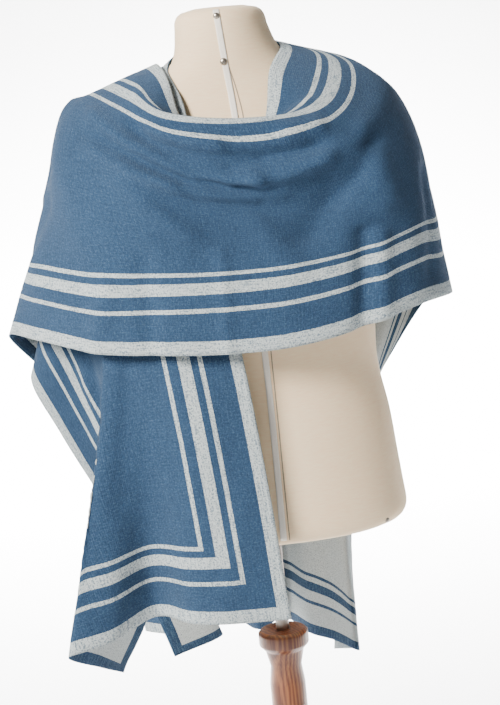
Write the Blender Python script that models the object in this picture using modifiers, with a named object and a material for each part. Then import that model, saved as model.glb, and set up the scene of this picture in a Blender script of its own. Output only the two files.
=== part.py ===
"""A double-faced knitted ruana, thrown over one shoulder of a limbless dress form on a turned stand.

Metres, +Z up. The form faces -Y, and its own right shoulder is at -X. The origin is on the floor under
the stand's pole. The ruana is one flat piece of knit with a slit from the front hem to the nape: two
front panels and a back panel meet on the nape line, which runs across both shoulders.
"""

import math
from collections import namedtuple

import bmesh
import bpy
from mathutils import Vector
from mathutils.bvhtree import BVHTree

# Driving dimensions of the cloth
HALF_WIDTH = 0.43
HALF_LENGTH = 0.86
WALL = 0.002
SEAM_GAP = 0.0004
SLIT_GAP = 0.0016
REST_GAP = 0.0008
REST_ROUNDS = 14
REACH = 0.03
END_STARTS = 0.57
NAPE_BLEND = 0.10
SLACK_FROM = 0.22
SLACK_TO = 0.68
FOLD_ACROSS = 7.3
FOLD_COLUMN = 1
CENTRE_COLUMN = 6

# Driving dimensions of the form and its stand
POLE_TOP = 0.864
POLE_DIAMETER = 0.018
SOCKET_DEPTH = 0.08
COLUMN_HEIGHT = 0.72
COLUMN_TOP_DIAMETER = 0.067
BASE_DIAMETER = 0.42
BASE_THICKNESS = 0.03
BASE_ROUNDING = 0.008
BASE_SHOULDER = 0.0024
BASE_CHAMFER = 0.002
FIT_GAP = 0.0003

# Mesh steps along the cloth and round the form
ACROSS_STEP = 0.02
DOWN_STEP = 0.029
SEAM_LEAD = 0.004
FORM_SEGMENTS = 36
TURNED_SEGMENTS = 32
TURN_MERGE = 0.00005
NORMAL_STEP = 0.4
CM = 0.01

COLOURS = {
    "Knit": (0.055, 0.125, 0.245, 1.0),
    "Linen": (0.72, 0.64, 0.53, 1.0),
    "Steel": (0.42, 0.38, 0.34, 1.0),
    "Turned_wood": (0.17, 0.06, 0.03, 1.0),
}
FINISHES = {
    "Knit": (0.9, 0.0),
    "Linen": (0.85, 0.0),
    "Steel": (0.35, 1.0),
    "Turned_wood": (0.4, 0.0),
}

# In the cloth's tables x, y and z are centimetres, and z is the height above the column's top.
# Flat distances are centimetres too: across from the slit or centre back, down from the nape line.

Nape = namedtuple("Nape", "across x y z")
NAPE_LINE = (
    Nape(-43, -26.4, 8.8, 44.5),
    Nape(-36, -25.3, 7.6, 52.0),
    Nape(-28.8, -23.5, 6.0, 60.6),
    Nape(-21.6, -20.4, 5.0, 68.6),
    Nape(-14.5, -13.8, 6.0, 72.2),
    Nape(-7.3, -7.1, 7.0, 74.7),
    Nape(0, 0.0, 7.6, 76.8),
    Nape(7.3, 7.1, 7.2, 75.8),
    Nape(14.5, 13.8, 6.0, 73.5),
    Nape(21.6, 20.4, 4.4, 69.6),
    Nape(31.6, 23.6, 3.9, 58.2),
    Nape(43, 24.9, 4.2, 43.0),
)

# The right front panel hangs from the shoulder. Its outer side falls into one deep fold, the tuck.
RightSection = namedtuple("RightSection", "down slit border flat valley crest ridge tuck side")
RIGHT_FRONT = (
    RightSection(10, (-7.3, 0.5, 76.0), (-10.6, 0.5, 73.9), (-13.4, 0.4, 72.9), (-16.4, 0.3, 71.7),
                 (-18.4, 0.3, 70.7), (-20.0, 0.5, 69.1), (-24.0, 2.5, 58.3), (-28.0, 5.0, 39.5)),
    RightSection(22, (-5.9, -7.3, 70.0), (-9.6, -7.1, 69.0), (-12.6, -6.9, 67.8), (-15.2, -6.8, 66.3),
                 (-17.4, -6.5, 65.0), (-19.2, -5.8, 63.3), (-23.2, -3.6, 52.5), (-29.4, -0.8, 37.0)),
    RightSection(36, (-4.4, -11.9, 57.5), (-9.0, -11.8, 56.8), (-12.0, -11.4, 56.3), (-15.0, -11.0, 55.5),
                 (-17.2, -10.2, 55.0), (-18.9, -9.2, 54.0), (-21.8, -4.4, 43.5), (-26.2, -2.2, 29.6)),
    RightSection(52, (-1.9, -13.9, 40.8), (-8.5, -13.9, 41.0), (-12.2, -13.4, 41.0), (-15.0, -12.5, 40.6),
                 (-17.6, -11.9, 40.0), (-19.3, -11.0, 39.0), (-18.4, -7.2, 28.5), (-21.2, -0.4, 18.0)),
    RightSection(68, (-0.2, -14.3, 24.4), (-8.4, -14.4, 24.4), (-12.0, -13.6, 24.4), (-15.8, -11.9, 24.2),
                 (-19.6, -12.9, 23.7), (-22.8, -13.0, 22.7), (-19.6, -7.8, 15.6), (-17.6, -2.0, 6.0)),
    RightSection(86, (1.2, -14.6, 6.0), (-7.5, -14.7, 6.2), (-11.3, -13.6, 6.3), (-16.3, -9.3, 6.2),
                 (-21.8, -13.6, 4.8), (-27.0, -14.6, 3.8), (-24.0, -9.0, 0.2), (-21.5, -4.0, -2.6)),
)

# The left front panel is thrown across the chest. Its slit edge is its top and folds down as a cowl.
ThrownSection = namedtuple("ThrownSection", "down slit fold roll chest rib side")
THROWN_FRONT = (
    ThrownSection(9, (6.6, 0.6, 76.8), (13.3, -1.0, 74.3), (17.6, -1.9, 72.2),
                  (22.2, -3.3, 65.5), (24.0, -4.0, 54.5), (25.4, -4.3, 43.6)),
    ThrownSection(17, (5.1, -6.4, 73.2), (12.8, -8.4, 70.6), (16.4, -9.7, 67.4),
                  (19.8, -10.8, 61.0), (21.1, -11.4, 52.4), (20.8, -11.2, 43.6)),
    ThrownSection(25, (3.9, -10.2, 66.9), (8.6, -12.4, 68.4), (11.0, -14.2, 64.8),
                  (13.5, -14.2, 58.0), (13.5, -14.8, 50.9), (12.6, -14.4, 41.7)),
    ThrownSection(33, (-0.9, -10.9, 62.0), (0.3, -13.7, 68.3), (2.2, -15.1, 64.3),
                  (4.5, -13.9, 58.5), (5.0, -15.7, 50.6), (4.6, -15.9, 40.5)),
    ThrownSection(41, (-5.8, -10.0, 67.0), (-8.3, -11.9, 69.8), (-6.4, -14.2, 65.0),
                  (-4.0, -13.9, 58.8), (-3.5, -15.6, 50.3), (-3.5, -16.1, 40.4)),
    ThrownSection(49, (-7.8, -4.4, 74.0), (-12.4, -5.4, 72.4), (-14.6, -9.0, 68.6),
                  (-13.5, -12.9, 60.5), (-11.8, -14.8, 50.8), (-11.5, -15.6, 40.9)),
    ThrownSection(57, (-9.3, 2.8, 75.7), (-15.9, 2.2, 73.5), (-20.6, -1.0, 70.9),
                  (-22.0, -6.6, 63.2), (-19.5, -12.0, 51.2), (-19.2, -13.2, 41.5)),
    ThrownSection(66, (-9.8, 11.0, 73.4), (-16.6, 10.8, 70.5), (-21.7, 6.4, 68.6),
                  (-24.1, 1.8, 63.0), (-26.6, -3.6, 53.2), (-26.8, -7.4, 42.9)),
    ThrownSection(76, (-9.8, 13.5, 63.8), (-17.0, 13.6, 61.5), (-21.7, 12.2, 59.5),
                  (-25.2, 9.8, 56.0), (-28.6, 5.2, 50.2), (-31.8, 0.3, 42.8)),
    ThrownSection(86, (-10.2, 15.2, 53.0), (-16.8, 17.4, 49.5), (-19.2, 14.6, 46.0),
                  (-24.7, 16.8, 44.5), (-27.0, 12.4, 41.4), (-27.6, 8.6, 35.4)),
)

# The back panel hangs in flutes that deepen to the hem. Its left side folds once more, at the crest.
BackSection = namedtuple("BackSection", "down right_side right_fold right_pleat right_crest right_blade "
                                        "right_flute centre left_flute left_blade left_pleat crest "
                                        "left_turn left_side")
BACK = (
    BackSection(14, (-21.0, 12.4, 35.6), (-22.2, 11.8, 43.4), (-22.2, 11.0, 49.6), (-20.0, 10.4, 55.4),
                (-15.5, 10.2, 60.5), (-8.0, 10.5, 62.8), (0.0, 10.4, 63.8), (8.8, 10.5, 62.5),
                (18.3, 9.4, 58.8), (21.0, 9.0, 53.0), (21.5, 9.2, 47.0), (21.5, 9.9, 41.4),
                (20.4, 12.4, 36.1)),
    BackSection(36, (-22.5, 13.0, 20.0), (-18.2, 15.0, 26.5), (-19.6, 16.8, 31.0), (-18.8, 17.8, 35.5),
                (-14.5, 16.6, 39.5), (-7.8, 17.6, 41.2), (-0.5, 13.8, 42.3), (7.0, 16.8, 41.0),
                (12.0, 13.2, 37.0), (14.0, 11.8, 31.6), (13.9, 12.4, 26.2), (13.2, 16.6, 21.6),
                (10.6, 21.2, 17.8)),
    BackSection(60, (-20.3, 12.6, 8.6), (-14.0, 13.8, 13.0), (-17.5, 18.4, 15.5), (-20.5, 23.6, 16.8),
                (-13.6, 18.8, 17.5), (-8.2, 23.4, 17.8), (-3.0, 17.0, 18.3), (1.0, 23.4, 18.0),
                (4.9, 16.6, 17.0), (8.3, 14.4, 14.5), (10.3, 11.6, 11.0), (10.4, 16.6, 6.0),
                (8.5, 21.5, 1.0)),
    BackSection(86, (-15.3, 10.0, -6.0), (-8.6, 17.0, -5.8), (-15.0, 19.8, -6.2), (-20.0, 24.2, -6.5),
                (-13.2, 22.4, -6.3), (-7.4, 27.0, -6.7), (-3.2, 19.6, -6.5), (0.6, 26.8, -7.2),
                (4.0, 18.6, -7.3), (7.4, 14.8, -7.5), (10.2, 10.8, -7.9), (10.4, 16.6, -9.7),
                (7.6, 22.4, -11.5)),
)

# Creases press the cloth in, or out where the depth is positive, along a line between two flat points.
Crease = namedtuple("Crease", "across_1 down_1 across_2 down_2 width depth")
THROWN_CREASES = (
    Crease(9.9, 25.5, 9.8, 40.5, 1.1, -0.7),
    Crease(12.0, 27, 11.8, 46, 1.5, 0.8),
    Crease(12.3, 24, 15.8, 38.5, 1.6, -1.0),
    Crease(18.6, 33, 18.9, 48, 1.6, -0.9),
    Crease(13.9, 15, 16.2, 28, 2.2, -0.8),
    Crease(18.5, 27.5, 28.0, 30.5, 2.4, 0.8),
    Crease(30.0, 24.6, 43.0, 24.4, 1.3, 0.6),
    Crease(33.0, 23.0, 43.0, 22.4, 1.2, -0.4),
    Crease(30.0, 40.6, 43.0, 41.0, 0.9, -0.25),
    Crease(12.6, 52, 15.6, 43, 1.4, -0.5),
)
RIGHT_CREASES = (
    Crease(9.0, 50, 16.0, 86, 2.5, -0.4),
)
BACK_CREASES = (
    Crease(-14.0, 10, -6.0, 60, 2.2, -0.6),
    Crease(6.0, 12, 16.0, 50, 2.4, -0.6),
)

# The form's sections: height above the column's top, half width, front and back depth, in centimetres.
FormSection = namedtuple("FormSection", "height half_width front back squareness")
FORM_SECTIONS = (
    FormSection(14.4, 16.0, 10.2, 10.0, 2.2),
    FormSection(14.9, 17.2, 11.0, 10.9, 2.2),
    FormSection(16.2, 17.9, 11.5, 11.4, 2.2),
    FormSection(19.0, 17.7, 11.6, 11.5, 2.2),
    FormSection(23.0, 17.3, 11.5, 11.4, 2.2),
    FormSection(29.0, 16.7, 11.3, 10.8, 2.2),
    FormSection(36.0, 15.6, 10.8, 9.2, 2.2),
    FormSection(44.0, 16.1, 11.6, 8.8, 2.2),
    FormSection(52.0, 17.0, 12.4, 9.2, 2.2),
    FormSection(58.0, 17.6, 11.2, 9.6, 2.3),
    FormSection(64.0, 18.0, 9.4, 9.2, 2.3),
    FormSection(67.6, 17.9, 7.7, 8.2, 2.2),
    FormSection(69.8, 16.9, 6.8, 7.5, 2.1),
    FormSection(71.2, 15.0, 6.2, 7.0, 2.0),
    FormSection(72.6, 12.2, 5.8, 6.7, 2.0),
    FormSection(73.8, 9.6, 5.6, 6.5, 2.0),
    FormSection(75.2, 7.7, 5.6, 6.2, 2.0),
    FormSection(77.0, 6.8, 5.6, 5.9, 2.0),
    FormSection(79.4, 6.3, 5.6, 5.6, 2.0),
    FormSection(80.9, 6.0, 5.4, 5.4, 2.0),
    FormSection(81.7, 5.0, 4.6, 4.5, 2.0),
    FormSection(82.0, 3.2, 3.0, 2.9, 2.0),
)

# The turned column's profile down its outer side: radius and height above the floor.
Turning = namedtuple("Turning", "radius height")
COLUMN_TURNINGS = (
    Turning(COLUMN_TOP_DIAMETER / 2 - 0.004, COLUMN_HEIGHT),
    Turning(COLUMN_TOP_DIAMETER / 2, COLUMN_HEIGHT - 0.004),
    Turning(COLUMN_TOP_DIAMETER / 2, COLUMN_HEIGHT - 0.020),
    Turning(0.0260, COLUMN_HEIGHT - 0.028),
    Turning(0.0210, COLUMN_HEIGHT - 0.050),
    Turning(0.0240, COLUMN_HEIGHT - 0.075),
    Turning(0.0240, 0.300),
    Turning(0.0320, 0.285),
    Turning(0.0320, 0.270),
    Turning(0.0250, 0.250),
    Turning(0.0340, 0.120),
    Turning(0.0440, 0.070),
    Turning(0.0480, 0.045),
    Turning(0.0480, BASE_THICKNESS + FIT_GAP),
)


def spline(knots, values, at):
    """Smooth curve through values at their knots, with the end runs carried on straight."""
    last = len(knots) - 1
    index = 0
    while index < last - 1 and at > knots[index + 1]:
        index += 1
    span = knots[index + 1] - knots[index]
    share = (at - knots[index]) / span
    chord = (values[index + 1] - values[index]) / span
    slope_in = chord
    slope_out = chord
    if index > 0:
        slope_in = (values[index + 1] - values[index - 1]) / (knots[index + 1] - knots[index - 1])
    if index < last - 1:
        slope_out = (values[index + 2] - values[index]) / (knots[index + 2] - knots[index])
    square = share * share
    cube = square * share
    return (values[index] * (2 * cube - 3 * square + 1)
            + slope_in * (span * (cube - 2 * square + share))
            + values[index + 1] * (3 * square - 2 * cube)
            + slope_out * (span * (cube - square)))


def smooth(share):
    """Ease a share from 0 to 1, held at both ends."""
    share = min(max(share, 0.0), 1.0)
    return share * share * (3 - 2 * share)


def nape_point(across):
    """Point of the nape line, in the tables' centimetres."""
    knots = [row.across for row in NAPE_LINE]
    points = [Vector((row.x, row.y, row.z)) for row in NAPE_LINE]
    return spline(knots, points, across)


def run_knots(points, start, end):
    """Flat stops of a run of points: true to its length near both ends, with the slack between them."""
    lengths = [0.0]
    for first, second in zip(points, points[1:]):
        lengths.append(lengths[-1] + (second - first).length)
    whole = lengths[-1]
    way = math.copysign(1.0, end - start)
    slack = abs(end - start) - whole
    stops = []
    for length in lengths:
        eased = smooth((length / whole - SLACK_FROM) / (SLACK_TO - SLACK_FROM))
        stops.append(start + way * (length + slack * eased))
    return stops


class Rows:
    """A panel's sections, with the flat stop across of each of their points."""

    def __init__(self, sections, start, anchor=0, middle=0.0):
        self.downs = [float(row.down) for row in sections]
        self.points = [[Vector(point) for point in row[1:]] for row in sections]
        self.knots = []
        for points in self.points:
            inner = run_knots(points[anchor::-1], middle, start)[:0:-1] if anchor else []
            self.knots.append(inner + run_knots(points[anchor:], middle, HALF_WIDTH / CM))

    def first(self, across):
        """Point of the first section, found across it."""
        return spline(self.knots[0], self.points[0], across)


class Drape:
    """One panel's surface: a smooth net through its sections, creased, and joined to the nape line."""

    def __init__(self, rows, side, behind, beyond, creases):
        self.side = side
        self.creases = creases
        self.downs = [-behind, 0.0] + rows.downs
        stops = rows.knots[0]
        nape = [nape_point(side * across) for across in stops]
        self.columns = list(zip([beyond(across) for across in stops], nape, *rows.points))
        self.knots = list(zip(stops, stops, *rows.knots))

    def net(self, across, down):
        """Point of the plain net."""
        knots = [spline(self.downs, column, down) for column in self.knots]
        points = [spline(self.downs, column, down) for column in self.columns]
        return spline(knots, points, across)

    def joined(self, across, down):
        """Point of the net, brought onto the shared nape line near the seam."""
        point = self.net(across, down)
        blend = 1.0 - smooth(down / (NAPE_BLEND / CM))
        if blend > 0.0:
            point += (nape_point(self.side * across) - self.net(across, 0.0)) * blend
        return point

    def normal(self, across, down):
        """Outward normal of the joined net."""
        step = NORMAL_STEP
        by_across = self.joined(across + step, down) - self.joined(across - step, down)
        by_down = self.joined(across, down + step) - self.joined(across, down - step)
        return by_across.cross(by_down).normalized()

    def press(self, across, down):
        """How far the creases push this point along its normal, in centimetres."""
        total = 0.0
        for crease in self.creases:
            start = Vector((crease.across_1, crease.down_1))
            run = Vector((crease.across_2, crease.down_2)) - start
            share = (Vector((across, down)) - start).dot(run) / run.length_squared
            held = min(max(share, 0.0), 1.0)
            away = (Vector((across, down)) - start - run * held).length / crease.width
            total += crease.depth * math.exp(-away * away)
        return total

    def point(self, across, down):
        """Finished point of the cloth's middle surface, in metres above the floor."""
        place = self.joined(across, down) + self.normal(across, down) * self.press(across, down)
        return Vector((place.x, place.y, place.z + COLUMN_HEIGHT / CM)) * CM


def steps(start, end, step, start_lead=0.0, end_lead=0.0):
    """Even stops from start to end, no further apart than the step, with a short lead at a seam."""
    first = start + start_lead
    last = end - end_lead
    count = max(2, math.ceil((last - first) / step))
    stops = [first + (last - first) * index / count for index in range(count + 1)]
    return ([start] if start_lead else []) + stops + ([end] if end_lead else [])


def new_material(name):
    """Plain Principled material with the named colour and finish."""
    material = bpy.data.materials.new(name)
    material.use_nodes = True
    shader = material.node_tree.nodes["Principled BSDF"]
    roughness, metallic = FINISHES[name]
    shader.inputs["Base Color"].default_value = COLOURS[name]
    shader.inputs["Roughness"].default_value = roughness
    shader.inputs["Metallic"].default_value = metallic
    return material


def add_object(name, mesh, material, collection):
    """Link a mesh as a named object with its material."""
    obj = bpy.data.objects.new(name, mesh)
    mesh.materials.append(material)
    mesh.shade_smooth()
    collection.objects.link(obj)
    return obj


def sheet_mesh(name, rows, flip):
    """Grid of faces through the rows of points."""
    mesh = bpy.data.meshes.new(name)
    build = bmesh.new()
    verts = [[build.verts.new(point) for point in row] for row in rows]
    for upper, lower in zip(verts, verts[1:]):
        for index in range(len(upper) - 1):
            corners = (upper[index], upper[index + 1], lower[index + 1], lower[index])
            build.faces.new(corners[::-1] if flip else corners)
    build.to_mesh(mesh)
    build.free()
    return mesh


def settle(point, tree):
    """Lift a cloth point that lies on the form, or just inside it, clear of the form."""
    nearest, normal, _, distance = tree.find_nearest(point)
    height = (point - nearest).dot(normal)
    wanted = WALL / 2 + REST_GAP
    if height < wanted and distance < REACH:
        return nearest + normal * wanted
    return point


def rest(rows, tree):
    """Lift the cloth's cells and their edges too, where a flat one would cut into the form."""
    wanted = WALL / 2 + REST_GAP
    for _ in range(REST_ROUNDS):
        for row, lower in zip(rows, rows[1:]):
            for index in range(len(row) - 1):
                corners = (row, index), (row, index + 1), (lower, index), (lower, index + 1)
                for held in (corners, corners[:2], corners[::2], corners[::3], corners[1:3]):
                    middle = sum((line[stop] for line, stop in held), Vector()) / len(held)
                    nearest, normal, _, distance = tree.find_nearest(middle)
                    lift = wanted - (middle - nearest).dot(normal)
                    if lift > 0.0 and distance < REACH:
                        for line, stop in held:
                            line[stop] = line[stop] + normal * lift


def add_panel(name, drape, across, down, tree, collection, material, flip):
    """Cloth wall over a patch of a drape, from the given stops across and down."""
    rows = [[settle(drape.point(stop / CM, row / CM), tree) for stop in across] for row in down]
    rest(rows, tree)
    obj = add_object(name, sheet_mesh(name, rows, flip), material, collection)
    wall = obj.modifiers.new("Wall", "SOLIDIFY")
    wall.thickness = WALL
    wall.offset = 0.0
    return obj


def form_ring(section):
    """Points round one section of the form, wide at the sides and squarer where its squareness says."""
    ring = []
    for index in range(FORM_SEGMENTS):
        angle = 2 * math.pi * index / FORM_SEGMENTS
        power = 2 / section.squareness
        x = section.half_width * math.copysign(abs(math.cos(angle)) ** power, math.cos(angle))
        depth = section.back if math.sin(angle) > 0 else section.front
        y = depth * math.copysign(abs(math.sin(angle)) ** power, math.sin(angle))
        ring.append(Vector((x, y, section.height + COLUMN_HEIGHT / CM)) * CM)
    return ring


def add_form(collection, material):
    """Smooth limbless torso and neck, lofted through its sections."""
    mesh = bpy.data.meshes.new("form_torso")
    build = bmesh.new()
    rings = [[build.verts.new(point) for point in form_ring(section)] for section in FORM_SECTIONS]
    for lower, upper in zip(rings, rings[1:]):
        for index in range(FORM_SEGMENTS):
            after = (index + 1) % FORM_SEGMENTS
            build.faces.new((lower[index], lower[after], upper[after], upper[index]))
    build.faces.new(rings[0][::-1])
    build.faces.new(rings[-1])
    build.to_mesh(mesh)
    build.free()
    return add_object("form_torso", mesh, material, collection)


def add_turned(name, profile, collection, material):
    """Solid of revolution round the pole's axis, from a closed run of radius and height."""
    mesh = bpy.data.meshes.new(name)
    build = bmesh.new()
    verts = [build.verts.new((radius, 0.0, height)) for radius, height in profile]
    for upper, lower in zip(verts, verts[1:]):
        build.edges.new((upper, lower))
    build.to_mesh(mesh)
    build.free()
    obj = add_object(name, mesh, material, collection)
    screw = obj.modifiers.new("Turn", "SCREW")
    screw.steps = TURNED_SEGMENTS
    screw.render_steps = TURNED_SEGMENTS
    screw.use_merge_vertices = True
    screw.merge_threshold = TURN_MERGE
    return obj


def add_stand(collection, wood, steel):
    """Pole in its socket, turned column and round base."""
    radius = POLE_DIAMETER / 2
    floor = COLUMN_HEIGHT - SOCKET_DEPTH
    pole = [(0.0, POLE_TOP - FIT_GAP), (radius, POLE_TOP - FIT_GAP), (radius, floor + FIT_GAP),
            (0.0, floor + FIT_GAP)]
    add_turned("stand_pole", pole, collection, steel)
    socket = radius + FIT_GAP
    column = [(0.0, floor), (socket, floor), (socket, COLUMN_HEIGHT)]
    column += [(turning.radius, turning.height) for turning in COLUMN_TURNINGS]
    column.append((0.0, BASE_THICKNESS + FIT_GAP))
    add_turned("stand_column", column, collection, wood)
    rim = BASE_DIAMETER / 2
    base = [(0.0, BASE_THICKNESS), (rim - BASE_ROUNDING, BASE_THICKNESS),
            (rim - BASE_SHOULDER, BASE_THICKNESS - BASE_SHOULDER),
            (rim, BASE_THICKNESS - BASE_ROUNDING), (rim, BASE_CHAMFER), (rim - BASE_CHAMFER, 0.0),
            (0.0, 0.0)]
    add_turned("stand_base", base, collection, wood)


def add_ruana(collection, knit, form):
    """Back panel, hanging right front, and the left front thrown over the chest and right shoulder."""
    tree = BVHTree.FromObject(form, bpy.context.evaluated_depsgraph_get())
    half_gap = SEAM_GAP / 2
    fall = Rows(RIGHT_FRONT, 0.0)
    throw = Rows(THROWN_FRONT, 0.0, FOLD_COLUMN, FOLD_ACROSS)
    rear = Rows(BACK, -HALF_WIDTH / CM, CENTRE_COLUMN)

    def before_back(across):
        """Front panels' point just before the nape line, for the back panel's stop across."""
        if across > 0:
            return throw.first(across)
        if across < 0:
            return fall.first(-across)
        return (throw.first(0.0) + fall.first(0.0)) / 2

    right = Drape(fall, -1, rear.downs[0], lambda across: rear.first(-across), RIGHT_CREASES)
    thrown = Drape(throw, 1, rear.downs[0], rear.first, THROWN_CREASES)
    back = Drape(rear, 1, throw.downs[0], before_back, BACK_CREASES)
    half = steps(0.0, HALF_WIDTH, ACROSS_STEP)
    panel = [SLIT_GAP / 2] + half[1:]
    whole = [-stop for stop in half[:0:-1]] + half
    add_panel("front_panel_right", right, panel,
              steps(half_gap, HALF_LENGTH, DOWN_STEP, SEAM_LEAD), tree, collection, knit, False)
    add_panel("front_panel_left_chest", thrown, panel,
              steps(half_gap, END_STARTS - half_gap, ACROSS_STEP, SEAM_LEAD, SEAM_LEAD),
              tree, collection, knit, True)
    add_panel("front_panel_left_end", thrown, panel,
              steps(END_STARTS + half_gap, HALF_LENGTH, ACROSS_STEP, SEAM_LEAD),
              tree, collection, knit, True)
    add_panel("back_panel", back, whole, steps(half_gap, HALF_LENGTH, DOWN_STEP, SEAM_LEAD),
              tree, collection, knit, False)


def main():
    """Clear the scene and build the ruana on its form."""
    for obj in list(bpy.data.objects):
        bpy.data.objects.remove(obj)
    collection = bpy.data.collections.new("Ruana_on_dress_form")
    bpy.context.scene.collection.children.link(collection)
    materials = {name: new_material(name) for name in COLOURS}
    form = add_form(collection, materials["Linen"])
    add_stand(collection, materials["Turned_wood"], materials["Steel"])
    add_ruana(collection, materials["Knit"], form)


main()
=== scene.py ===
"""A double-faced knitted ruana on a limbless dress form with a turned stand, in a plain studio.

Metres, +Z up. The form faces -Y and its own right shoulder is at -X. The cloth is one flat cut with a slit
from the middle of the front hem to the nape. The tables say where flat points of the cut lie when draped,
in centimetres, with z above the column's top.
"""

from __future__ import annotations

import logging
import math
from dataclasses import dataclass
from enum import Enum
from typing import Any, Callable, Sequence

import bmesh
import bpy
import numpy as np
from mathutils import Matrix, Vector, noise
from mathutils.bvhtree import BVHTree

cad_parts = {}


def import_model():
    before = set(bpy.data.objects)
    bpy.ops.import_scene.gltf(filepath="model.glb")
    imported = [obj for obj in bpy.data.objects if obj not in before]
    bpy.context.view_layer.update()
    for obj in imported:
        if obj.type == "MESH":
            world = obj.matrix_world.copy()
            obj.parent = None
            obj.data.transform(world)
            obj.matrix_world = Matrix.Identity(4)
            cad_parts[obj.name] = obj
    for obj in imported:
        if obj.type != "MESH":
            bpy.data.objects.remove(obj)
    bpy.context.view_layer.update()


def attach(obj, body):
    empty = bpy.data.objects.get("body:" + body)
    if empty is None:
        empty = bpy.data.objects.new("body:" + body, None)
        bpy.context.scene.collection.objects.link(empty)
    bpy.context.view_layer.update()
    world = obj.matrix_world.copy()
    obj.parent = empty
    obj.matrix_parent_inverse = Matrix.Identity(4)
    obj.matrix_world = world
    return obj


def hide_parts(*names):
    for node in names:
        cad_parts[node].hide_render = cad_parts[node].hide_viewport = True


LOG = logging.getLogger("ruana")
CM = 0.01
COLUMN_HEIGHT = 0.72
MERGE_DISTANCE = 0.00005
SAME_LEVEL = 0.00001
SHARP_ANGLE = 0.35
SLACK_SHARES = (0.22, 0.68)

Pair = tuple[float, float]
Point = tuple[float, float, float]
Colour = tuple[float, float, float]
Array = np.ndarray
Mesh = bmesh.types.BMesh
Vert = bmesh.types.BMVert
FlatPoint = tuple[Vert, float, float]
Material = bpy.types.Material
Object = bpy.types.Object


class Panel(Enum):
    """Part of the cut that a flat point belongs to."""

    RIGHT = "right front"
    THROWN = "left front, thrown"
    BACK = "back"


@dataclass(frozen=True)
class Crease:
    """Soft trough between two flat points of a panel, in centimetres, or a ridge if its depth is positive."""

    across_1: float
    down_1: float
    across_2: float
    down_2: float
    width: float
    depth: float


NAPE_ACROSS = (-43, -36, -28.8, -21.6, -14.5, -7.3, 0, 7.3, 14.5, 21.6, 31.6, 43)
NAPE_POINTS = (
    (-26.4, 8.8, 44.5), (-25.3, 7.6, 52), (-23.5, 6, 60.6), (-20.4, 5, 68.6), (-13.8, 6, 72.2),
    (-7.1, 7, 74.7), (0, 7.6, 76.8), (7.1, 7.2, 75.8), (13.8, 6, 73.5), (20.4, 4.4, 69.6),
    (23.6, 3.9, 58.2), (24.6, 4.3, 43.3),
)

# Lines across each panel: the flat distance down from the nape line, then the places in the air.
RIGHT_FRONT = (
    (10, (-7.3, 0.5, 76), (-10.6, 0.5, 73.9), (-13.4, 0.4, 72.9), (-16.4, 0.3, 71.7), (-18.4, 0.3, 70.7),
     (-20, 0.5, 69.1), (-24, 2.5, 58.3), (-28, 5, 39.5)),
    (22, (-5.9, -7.3, 70), (-9.6, -7.1, 69), (-12.6, -6.9, 67.8), (-15.2, -6.8, 66.3), (-17.4, -6.5, 65),
     (-19.2, -5.8, 63.3), (-23.2, -3.6, 52.5), (-29.4, -0.8, 37)),
    (36, (-4.4, -11.9, 57.5), (-9, -11.8, 56.8), (-12, -11.4, 56.3), (-15, -11, 55.5), (-17.2, -10.2, 55),
     (-18.9, -9.2, 54), (-21.8, -4.4, 43.5), (-26.2, -2.2, 29.6)),
    (52, (-1.9, -13.9, 40.8), (-8.5, -13.9, 41), (-12.2, -13.4, 41), (-15, -12.5, 40.6), (-17.6, -11.9, 40),
     (-19.3, -11, 39), (-18.4, -7.2, 28.5), (-21.2, -0.4, 18)),
    (68, (-0.2, -14.3, 24.4), (-8.4, -14.4, 24.4), (-12, -13.6, 24.4), (-15.8, -11.9, 24.2),
     (-19.6, -12.9, 23.7), (-22.8, -13, 22.7), (-19.6, -7.8, 15.6), (-17.6, -2, 6)),
    (86, (1.2, -14.6, 6), (-7.5, -14.7, 6.2), (-11.3, -13.6, 6.3), (-16.3, -9.3, 6.2), (-21.8, -13.6, 4.8),
     (-27, -14.6, 3.8), (-24, -9, 0.2), (-21.5, -4, -2.6)),
)

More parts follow.
